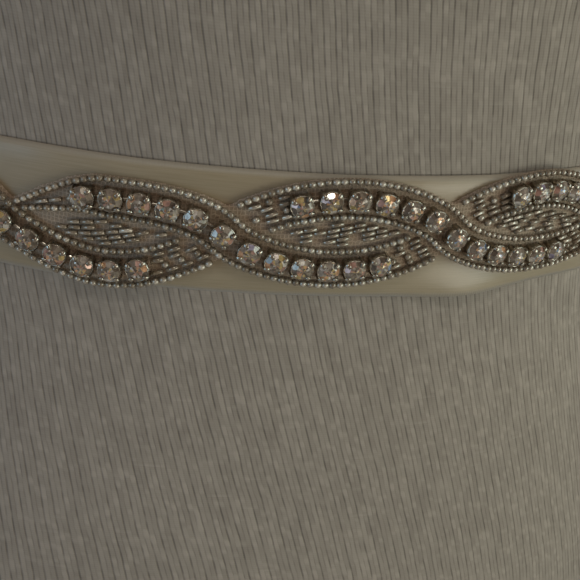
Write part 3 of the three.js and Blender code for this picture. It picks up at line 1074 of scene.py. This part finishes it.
def sew_on(name, batches, material):
    """One joined piece from batches of (model, places), with the places' tones on its faces."""
    corners, faces, smooth, tones = [], [], [], []
    for model, places in batches:
        for points, place in zip(sewn_copies(model, places), places):
            base = len(corners)
            corners += points.tolist()
            faces += [[base + corner for corner in face] for face in model["faces"]]
            smooth += model["smooth"]
            tones += [place.get("tone", 0.5)] * len(model["faces"])
    mesh = bpy.data.meshes.new(name)
    mesh.from_pydata(corners, [], faces)
    mesh.polygons.foreach_set("use_smooth", smooth)
    mesh.attributes.new("tone", "FLOAT", "FACE").data.foreach_set("value", tones)
    mesh.materials.append(material)
    piece = new_object(name, mesh)
    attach(piece, ROOT)
    return piece


# %% [markdown]
# ## Seed and bugle beads
# A seed bead is a short ring of glass with a hole, so a small torus drawn longer along its axis
# is the nearest start. A bugle bead is a cut piece of glass tube: a cylinder whose two ends are
# inset and pushed in.

# %% Model one seed bead and one bugle bead
SEED_RADIUS = 0.7 * MM
SEED_TUBE = 0.35 * MM
SEED_STRETCH = 2.0
BUGLE_RADIUS = 0.45 * MM


def model_seed():
    bpy.ops.mesh.primitive_torus_add(
        rotation=(0, math.pi / 2, 0),
        major_segments=9,
        minor_segments=5,
        major_radius=SEED_RADIUS - SEED_TUBE,
        minor_radius=SEED_TUBE,
    )
    piece = fresh_piece()
    bpy.ops.object.mode_set(mode="EDIT")
    bpy.ops.mesh.select_all(action="SELECT")
    bpy.ops.transform.resize(value=(SEED_STRETCH, 1, 1))
    leave_edit_mode()
    bpy.ops.object.shade_smooth()
    return take_model(piece)


def model_bugle():
    bpy.ops.mesh.primitive_cylinder_add(
        vertices=7, radius=BUGLE_RADIUS, depth=2 * BUGLE_HALF, rotation=(0, math.pi / 2, 0)
    )
    piece = fresh_piece()
    select_faces(piece, lambda face: abs(face.normal.x) > 0.9)
    bpy.ops.mesh.inset(thickness=0.12 * MM, use_individual=True)
    bpy.ops.mesh.inset(thickness=0.08 * MM, depth=-0.25 * MM, use_individual=True)
    leave_edit_mode()
    choose(piece)
    bpy.ops.object.shade_smooth_by_angle(angle=math.radians(40))
    return take_model(piece)


seed_model = model_seed()
bugle_model = model_bugle()
print("faces of a seed bead:", len(seed_model["faces"]), "of a bugle:", len(bugle_model["faces"]))

# %% [markdown]
# The beads are clear glass with a dull silver lining. The lining's shine is painted into the colour as a
# painted highlight: bright on the crown of a bead, fading to the glass's own brown towards its sides,
# strong on some beads and faint on others. Each corner says how far out it lies, each bead has a tone
# that sets the strength of its painted highlight, and the two are multiplied. The shader is slightly
# metallic for the lining, with a clear coat for the glass.

# %% The lined glass
GLASS_BROWN = (0.33, 0.27, 0.19, 1)
# The colour of the lining's painted highlight.
LINING_PAINTED_HIGHLIGHT = (0.92, 0.84, 0.68, 1)


def build_lined_glass():
    made, tree, shader = new_material(
        "silver_lined_glass", Metallic=0.3, Coat_Weight=1.0, Coat_Roughness=0.1
    )
    tone = put(tree, "ShaderNodeAttribute", attribute_name="tone").outputs["Fac"]
    crown = put(tree, "ShaderNodeAttribute", attribute_name="crown").outputs["Fac"]
    cloud = clouds(tree, 900.0)
    # Painted highlight of the lining: strongest on the outward crown of a bead, scaled by the bead's
    # tone.
    painted_highlight = remapped(tree, crown, 0.35, 0.95)
    lining = added(tree, tone, remapped(tree, cloud, 0.3, 0.7, -0.15, 0.15))
    colour = blended(tree, times(tree, painted_highlight, lining), GLASS_BROWN, LINING_PAINTED_HIGHLIGHT)
    rough = remapped(tree, cloud, 0.3, 0.7, 0.1, 0.24)
    link_into(tree, shader, Base_Color=colour, Roughness=rough)
    return made


lined_glass = build_lined_glass()
print("material:", lined_glass.name)

# %% Sew on the beads


def mark_crown(piece, model, count):
    """How far each corner lies out from its bead's middle, as a share of the bead's radius: the mask for
    the painted highlight.
    """
    out = model["corners"][:, 2] / model["corners"][:, 2].max()
    piece.data.attributes.new("crown", "FLOAT", "POINT").data.foreach_set("value", np.tile(out, count))


seed_beads = sew_on("seed_beads", [(seed_model, seeds)], lined_glass)
bugle_beads = sew_on("bugle_beads", [(bugle_model, bugles)], lined_glass)
mark_crown(seed_beads, seed_model, len(seeds))
mark_crown(bugle_beads, bugle_model, len(bugles))
for piece in (seed_beads, bugle_beads):
    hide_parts("trim_backing")
    print(piece.name, "faces:", len(piece.data.polygons))

# %% [markdown]
# ## The mesh backing
# The beads are couched onto a strip of taupe mesh that shows between them as a brown ground. It
# is cut close to the outer rows, so its two edges are found from the beads themselves: at each
# step along it the highest and the lowest bead say how wide the strip is.

# %% Cut the backing to the beads
BACKING_OUT = 0.3 * MM
BACKING_CLOTH = 0.2 * MM
BACKING_STEP = 0.7 * MM
BACKING_REACH = 1.3 * MM
BACKING_MARGIN = 0.4 * MM
BACKING_END = 0.6 * MM
MESH_CELLS = 1300.0
MESH_HOLE = (0.62, 0.5, 0.37, 1)
MESH_THREAD = (0.42, 0.33, 0.24, 1)


def build_backing():
    along = np.array([bead["x"] for bead in seeds[:border_seeds]])
    height = np.array([bead["y"] for bead in seeds[:border_seeds]])
    first, last = along.min() - BACKING_END, along.max() + BACKING_END
    stations = np.linspace(first, last, int((last - first) / BACKING_STEP))
    edges = []
    for x in stations:
        near = height[np.abs(along - x) < BACKING_REACH]
        edges.append((near.min() - BACKING_MARGIN, near.max() + BACKING_MARGIN))
    padded = np.pad(np.array(edges), ((1, 1), (0, 0)), mode="edge")
    edges = (padded[:-2] + padded[1:-1] + padded[2:]) / 3
    heights = edges[:, :1] + (edges[:, 1:] - edges[:, :1]) * np.linspace(0, 1, 9)
    stretched = np.broadcast_to(stations[:, None], heights.shape)
    points = on_trim(stretched, heights, BACKING_OUT)
    uv = np.stack([stretched, heights], axis=-1)
    area = float(np.sum(edges[:, 1] - edges[:, 0]) * BACKING_STEP)
    return cloth_grid("mesh_backing", points, uv), area


def build_backing_cloth():
    made, tree, shader = new_material("taupe_mesh", Roughness=0.85, Specular_IOR_Level=0.2)
    uv = put(tree, "ShaderNodeUVMap", uv_map="cloth").outputs[0]
    sockets = {"Vector": uv, "Scale": MESH_CELLS, "Randomness": 0.35}
    cells = put(tree, "ShaderNodeTexVoronoi", sockets, feature="DISTANCE_TO_EDGE").outputs["Distance"]
    holes = remapped(tree, cells, 0.06, 0.16)
    link_into(tree, shader, Base_Color=blended(tree, holes, MESH_HOLE, MESH_THREAD))
    raise_threads(tree, shader, holes, 0.5, 0.1 * MM, invert=True)
    return made


mesh_backing, backing_area = build_backing()
apply_modifier(mesh_backing, "SOLIDIFY", thickness=BACKING_CLOTH, offset=-1)
mesh_backing.data.materials.append(build_backing_cloth())
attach(mesh_backing, ROOT)
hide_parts("trim_backing")
print("backing area:", round(backing_area, 5))

# %% [markdown]
# ## Crystal stones
# A stone is ground from a round blank: each flat cut leaves one facet. The bisect operator does
# the same to a cylinder, cut by cut, in three rings of facets at three tilts. Last the table is
# poked to a very low point, because the light that comes back through a real table is broken up
# by the facets under it.

# %% Grind one stone
STONE_RADIUS = 2.14 * MM
STONE_HEIGHT = 1.15 * MM
TABLE_STEP = 0.55 * MM
TABLE_POINT = 0.12 * MM
facet_rings = [
    {"count": 16, "tilt": 52, "turn": 0.5, "meets": (STONE_RADIUS, 0.32 * MM)},
    {"count": 8, "tilt": 41, "turn": 0.0, "meets": (2.07 * MM, 0.38 * MM)},
    {"count": 8, "tilt": 24, "turn": 0.5, "meets": (1.3 * MM, 1.1 * MM)},
]


def model_stone():
    bpy.ops.mesh.primitive_cylinder_add(
        vertices=16, radius=STONE_RADIUS, depth=STONE_HEIGHT, location=(0, 0, STONE_HEIGHT / 2)
    )
    piece = fresh_piece()
    bpy.ops.object.mode_set(mode="EDIT")
    for ring in facet_rings:
        tilt = math.radians(ring["tilt"])
        for k in range(ring["count"]):
            turn = (k + ring["turn"]) * 2 * math.pi / ring["count"]
            outward = Vector((math.cos(turn), math.sin(turn), 0))
            bpy.ops.mesh.select_all(action="SELECT")
            bpy.ops.mesh.bisect(
                plane_co=outward * ring["meets"][0] + Vector((0, 0, ring["meets"][1])),
                plane_no=outward * math.sin(tilt) + Vector((0, 0, math.cos(tilt))),
                use_fill=True,
                clear_outer=True,
                threshold=0.001 * MM,
            )
    leave_edit_mode()
    select_faces(piece, lambda face: face.normal.z > 0.999 and face.center.z > STONE_HEIGHT * 0.9)
    bpy.ops.mesh.inset(thickness=TABLE_STEP, depth=0.05 * MM)
    bpy.ops.mesh.poke(offset=TABLE_POINT)
    leave_edit_mode()
    choose(piece)
    bpy.ops.object.shade_flat()
    print("stone facets:", len(piece.data.polygons))
    return take_model(piece)


stone_model = model_stone()

# %% [markdown]
# ## Cup settings
# Each stone sits in a silver cup on a chain, held by four prongs that are bent over its edge.
# The cup is a short twelve-sided tube, narrower at its foot. A prong is a small bar whose top is
# drawn up and inwards twice, and four of them are joined to the cup at its diagonals. A small
# bevelled bar links one cup to the next.

# %% Model a cup setting and a link
CUP_RADIUS = 2.26 * MM
CUP_HEIGHT = 1.95 * MM
CUP_FLOOR = 0.7 * MM
CUP_WALL = 0.16 * MM
CUP_FOOT_SHARE = 0.86
PRONG_WIDTH = 0.9 * MM
PRONG_THICK = 0.34 * MM
PRONG_HEIGHT = 2.1 * MM
PRONG_AT = 2.36 * MM
prong_bends = [
    {"rise": 0.42 * MM, "inward": 0.2 * MM, "narrower": 0.9},
    {"rise": 0.16 * MM, "inward": 0.5 * MM, "narrower": 0.7},
]


def model_cup():
    bpy.ops.mesh.primitive_cylinder_add(
        vertices=12, radius=CUP_RADIUS, depth=CUP_HEIGHT, location=(0, 0, CUP_HEIGHT / 2)
    )
    piece = fresh_piece()
    select_faces(piece, lambda face: face.normal.z < -0.9)
    bpy.ops.transform.resize(value=(CUP_FOOT_SHARE, CUP_FOOT_SHARE, 1))
    leave_edit_mode()
    select_faces(piece, lambda face: face.normal.z > 0.9)
    bpy.ops.mesh.inset(thickness=CUP_WALL)
    bpy.ops.mesh.extrude_region_move(TRANSFORM_OT_translate={"value": (0, 0, CUP_FLOOR - CUP_HEIGHT)})
    leave_edit_mode()
    return piece


def model_prong(turn):
    bpy.ops.mesh.primitive_cube_add(size=1, location=(PRONG_AT, 0, PRONG_HEIGHT / 2))
    piece = fresh_piece(scale=(PRONG_THICK, PRONG_WIDTH, PRONG_HEIGHT))
    select_faces(piece, lambda face: face.normal.z > 0.9)
    for bend in prong_bends:
        move = {"value": (-bend["inward"], 0, bend["rise"])}
        bpy.ops.mesh.extrude_region_move(TRANSFORM_OT_translate=move)
        bpy.ops.transform.resize(value=(1, bend["narrower"], 1))
    bpy.ops.mesh.select_all(action="SELECT")
    bpy.ops.transform.rotate(value=-turn, orient_axis="Z", center_override=(0, 0, 0))
    leave_edit_mode()
    return piece


def model_setting():
    cup = model_cup()
    prongs = [model_prong(math.radians(turn)) for turn in (45, 135, 225, 315)]
    bpy.ops.object.select_all(action="DESELECT")
    for piece in (*prongs, cup):
        piece.select_set(True)
    bpy.context.view_layer.objects.active = cup
    bpy.ops.object.join()
    bpy.ops.object.shade_smooth_by_angle(angle=math.radians(35))
    print("setting faces:", len(cup.data.polygons))
    return take_model(cup)


def model_link():
    bpy.ops.mesh.primitive_cube_add(size=1, location=(0, 0, 0.05 * MM))
    piece = fresh_piece(scale=(1.9 * MM, 0.6 * MM, 0.35 * MM))
    apply_modifier(piece, "BEVEL", width=0.14 * MM, segments=1)
    return take_model(piece)


setting_model = model_setting()
link_model = model_link()

# %% [markdown]
# Silver plate on such a chain is bright in places and dull in others, so a fine noise mixes the two. The
# stones' facets carry painted reflections: each facet gets a painted colour of its own, with warm pink
# and peach on the left of the trim and blue and green on its right. Most are plain, a few are pale
# painted flashes, and some are tinted by where the stone sits on the trim.

# %% The plate and the crystal
SILVER_DULL = (0.36, 0.31, 0.24, 1)
SILVER_BRIGHT = (0.74, 0.69, 0.58, 1)


def build_silver_plate():
    made, tree, shader = new_material("silver_plate", Metallic=1.0)
    tarnish = clouds(tree, 700.0)
    colour = blended(tree, tarnish, SILVER_DULL, SILVER_BRIGHT)
    rough = remapped(tree, tarnish, 0.3, 0.7, 0.42, 0.2)
    link_into(tree, shader, Base_Color=colour, Roughness=rough)
    return made


def build_crystal():
    """Each facet's painted reflection colour, broken up a little by noise, as by the facets below it."""
    made, tree, shader = new_material(
        "cut_crystal", Metallic=0.3, Roughness=0.16, Coat_Weight=0.7, Coat_Roughness=0.07
    )
    facet = put(tree, "ShaderNodeAttribute", attribute_name="facet").outputs["Color"]
    broken = remapped(tree, clouds(tree, 1500.0), 0.35, 0.65, 0.72, 1.25)
    link_into(tree, shader, Base_Color=shaded(tree, facet, broken))
    return made


silver_plate = build_silver_plate()
cut_crystal = build_crystal()
print("materials:", silver_plate.name, cut_crystal.name)

# %% Paint reflections on the facets
# Painted reflection colours for the facets: plain, warm and cool ones, and a pale painted flash.
plain_facet_reflections = [(0.48, 0.42, 0.34), (0.36, 0.305, 0.235), (0.29, 0.235, 0.175), (0.2, 0.16, 0.12)]
warm_facet_reflections = [(0.78, 0.44, 0.24), (0.74, 0.56, 0.24), (0.6, 0.36, 0.28)]
cool_facet_reflections = [(0.3, 0.4, 0.58), (0.36, 0.5, 0.47), (0.47, 0.43, 0.56)]
PAINTED_FLASH_FACET = (0.85, 0.8, 0.7)
PAINTED_FLASH_SHARE = 0.08
TINTED_REFLECTION_SHARE = 0.36
WARM_TO_COOL = (4.6 * LENS, 6.2 * LENS)
COOL_SHARES = (0.06, 0.7)


def painted_facet_colour(along):
    """A facet's painted reflection colour, warm on the left of the trim's middle and cool on its right.
    """
    draw = chance.random()
    if draw < PAINTED_FLASH_SHARE:
        return PAINTED_FLASH_FACET
    if draw < TINTED_REFLECTION_SHARE:
        is_cool = chance.random() < np.interp(along, WARM_TO_COOL, COOL_SHARES)
        return chance.choice(cool_facet_reflections if is_cool else warm_facet_reflections)
    return chance.choice(plain_facet_reflections)


print("facet colours:", 1 + len(plain_facet_reflections + warm_facet_reflections + cool_facet_reflections))

# %% Set the stones
STONE_FOOT = 0.6 * MM
STONE_SEAT = 1.5 * MM
STONE_TURN = 0.6


def cup_places(strand):
    """A place for each cup along a strand, which is half a strand at both ends of the trim."""
    run_start, pitch = stone_runs[strand]
    first, last = (STONES // 2 if strand == 0 else 0), (STONES // 2 if strand == LENSES else STONES)
    found = []
    for i in range(first, last):
        place = run_start + pitch * i
        after = strand_height(place + pitch / 2, strand)
        rise = after - strand_height(place - pitch / 2, strand)
        found.append(
            {
                "x": (strand - 1 + place) * LENS,
                "y": float(strand_height(place, strand)),
                "out": STONE_FOOT + crossing_lift(place),
                "heading": math.atan2(rise, pitch * LENS),
                "size": 1.0,
                "tone": chance.random(),
            }
        )
    return found


def link_between(cup, after):
    middle = {"x": (cup["x"] + after["x"]) / 2, "y": (cup["y"] + after["y"]) / 2}
    return {**cup, **middle, "heading": math.atan2(after["y"] - cup["y"], after["x"] - cup["x"])}


def stone_in(cup):
    turned = cup["heading"] + chance.uniform(-STONE_TURN, STONE_TURN)
    return {**cup, "out": cup["out"] + STONE_SEAT, "heading": turned}


def add_stones(strand):
    """A strand's chain of cups and links, and its stones with a painted reflection colour for each
    facet.
    """
    cups = cup_places(strand)
    links = [link_between(cup, after) for cup, after in zip(cups, cups[1:])]
    stones = [stone_in(cup) for cup in cups]
    settings = sew_on(f"settings_{strand}", [(setting_model, cups), (link_model, links)], silver_plate)
    crystals = sew_on(f"crystals_{strand}", [(stone_model, stones)], cut_crystal)
    colours = []
    for stone in stones:
        for _ in stone_model["faces"]:
            colours += [*painted_facet_colour(stone["x"]), 1.0]
    crystals.data.attributes.new("facet", "FLOAT_COLOR", "FACE").data.foreach_set("color", colours)
    for piece, slot in ((settings, "metal"), (crystals, "crystal")):
        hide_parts(f"stone_chain_{strand}")
    return len(cups)


print("stones:", sum(add_stones(strand) for strand in range(LENSES + 1)))

# %% [markdown]
# ## Floor, light and camera
# The photograph is dim and soft. Its main light is a cool window on the right, with a low warm
# table lamp beside it. A weak blue fill comes from the left, a small lamp above gives the beads
# their glints, and one behind keeps the back from going dark. A lamp's spread is the angle that
# its light fills, and 100 degrees give it a soft edge on the floor. The camera stands close,
# above the sash and to its left, looks down and is rolled a little.

# %% Stage
FLOOR_DARK = (0.6, 0.58, 0.55, 1)
FLOOR_LIGHT = (0.66, 0.64, 0.61, 1)
ROOM_COLOUR = (1.0, 0.74, 0.6, 1)
ROOM_STRENGTH = 0.16
LAMP_SPREAD = math.radians(100)
# Each lamp's name, place, size, power in watts and colour.
lamps = [
    ("window", (1.2, -0.55, 0.4), (0.6, 0.8), 1.6, (0.8, 1.0, 0.985)),
    ("table", (0.7, -0.9, 0.08), (0.5, 0.4), 0.66, (1.0, 0.975, 0.85)),
    ("left_fill", (-1.2, -0.5, 0.3), (0.8, 0.6), 1, (0.4, 0.7, 1.0)),
    ("spark", (-0.1, -0.6, 1.05), (0.12, 0.12), 0.19, (1.0, 0.97, 0.92)),
    ("behind", (-0.5, 1.3, 0.9), (1.0, 1.0), 1.7, (0.9, 0.98, 1.0)),
]


def add_floor():
    bpy.ops.mesh.primitive_plane_add(size=8, location=(0, 0, 0))
    floor = bpy.context.object
    floor.name = "studio_floor"
    made, tree, shader = new_material("pale_floor", Roughness=0.7)
    link_into(tree, shader, Base_Color=blended(tree, clouds(tree, 3.0), FLOOR_DARK, FLOOR_LIGHT))
    floor.data.materials.append(made)


def add_lamp(name, at, size, power, colour):
    """A rectangular area lamp that faces the middle of the sash."""
    light = bpy.data.lights.new(name, "AREA")
    light.shape = "RECTANGLE"
    light.size, light.size_y = size
    light.energy = power
    light.color = colour
    light.spread = LAMP_SPREAD
    holder = new_object(name, light)
    holder.location = at
    holder.visible_camera = False
    to_sash = Vector((0, MIDDLE_Y, WAIST_Z)) - holder.location
    holder.rotation_euler = to_sash.to_track_quat("-Z", "Y").to_euler()


def light_the_room():
    """A dim, warm air all round, and the lamps."""
    room = bpy.data.worlds.new("room")
    room.use_nodes = True
    air = room.node_tree.nodes["Background"]
    air.inputs["Color"].default_value = ROOM_COLOUR
    air.inputs["Strength"].default_value = ROOM_STRENGTH
    SCENE.world = room
    for lamp in lamps:
        add_lamp(*lamp)
    SCENE.view_settings.view_transform = "Standard"


add_floor()
light_the_room()
print("lamps:", [lamp[0] for lamp in lamps])

# %% Camera
CAMERA_AZIMUTH = math.radians(-11.75)
CAMERA_DISTANCE = 242.5 * MM
CAMERA_RISE = 68.4 * MM
CAMERA_YAW = math.radians(-3.83)
CAMERA_PITCH = math.radians(27.36)
CAMERA_ROLL = math.radians(7.57)
SENSOR = 36.0
LENS_IN_PIXELS = 900
PHOTO_SIDE = 580


def add_camera():
    """The camera's place, and its three axes turned by its yaw, pitch and roll."""
    camera = bpy.data.cameras.new("camera")
    camera.sensor_width = SENSOR
    camera.lens = LENS_IN_PIXELS / PHOTO_SIDE * SENSOR
    camera.clip_start = 0.01
    holder = new_object("camera", camera)
    turn = CAMERA_AZIMUTH + CAMERA_YAW
    level = math.cos(CAMERA_PITCH)
    forward = Vector((-math.sin(turn) * level, math.cos(turn) * level, -math.sin(CAMERA_PITCH)))
    level_right = forward.cross(Vector((0, 0, 1))).normalized()
    level_up = level_right.cross(forward)
    right = math.cos(CAMERA_ROLL) * level_right + math.sin(CAMERA_ROLL) * level_up
    up = -math.sin(CAMERA_ROLL) * level_right + math.cos(CAMERA_ROLL) * level_up
    pose = holder.matrix_world.copy()
    place = Vector(
        (
            math.sin(CAMERA_AZIMUTH) * CAMERA_DISTANCE,
            MIDDLE_Y - math.cos(CAMERA_AZIMUTH) * CAMERA_DISTANCE,
            WAIST_Z + CAMERA_RISE,
        )
    )
    for column, axis in enumerate((right, up, -forward, place)):
        pose.col[column][:3] = axis
    holder.matrix_world = pose
    SCENE.camera = holder
    print("camera at:", [round(value, 4) for value in place], "lens:", round(camera.lens, 2))


add_camera()
